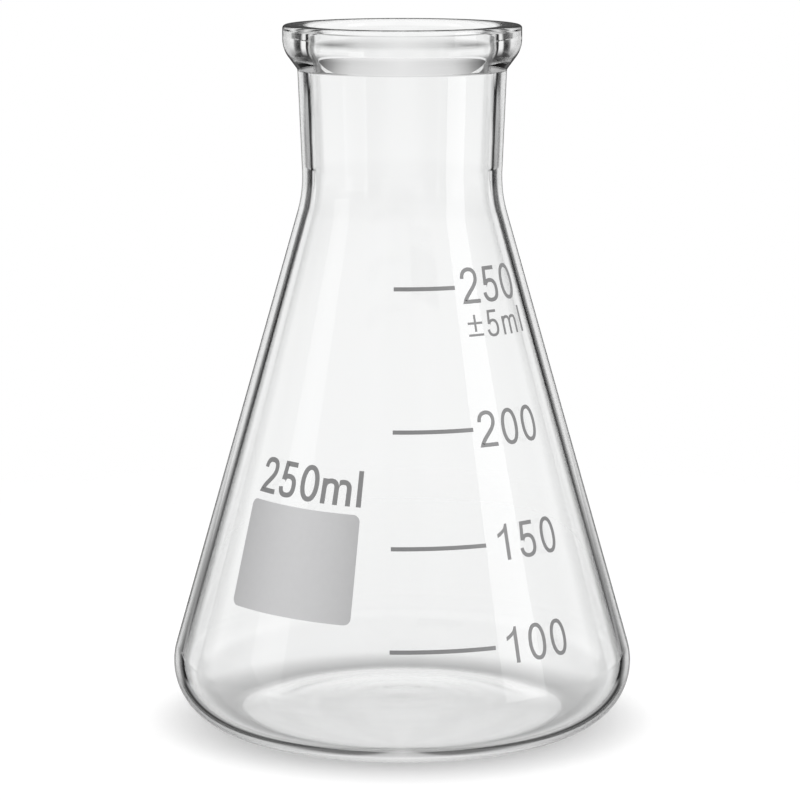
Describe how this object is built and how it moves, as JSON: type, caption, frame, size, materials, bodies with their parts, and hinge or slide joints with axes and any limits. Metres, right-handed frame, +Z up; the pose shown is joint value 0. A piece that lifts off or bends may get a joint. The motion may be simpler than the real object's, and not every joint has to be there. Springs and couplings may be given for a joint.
{
  "type": "wide mouth erlenmeyer flask",
  "caption": "Conical glass flask with a short wide neck, a reinforced rim, a round heel and a raised floor, for holding, mixing and heating liquids.",
  "frame": {"origin": "centre of the foot ring, on the axis of the flask, in the plane that it stands on", "axes": "+Z up along the axis of the flask to the mouth; the printed scale faces -Y"},
  "size_m": [0.085, 0.085, 0.129],
  "materials": {
    "glass": "clear fire-polished borosilicate glass",
    "print": "grey ceramic enamel, fired on, matt"
  },
  "bodies": {
    "root": {"flask": "glass"}
  },
  "joints": []
}
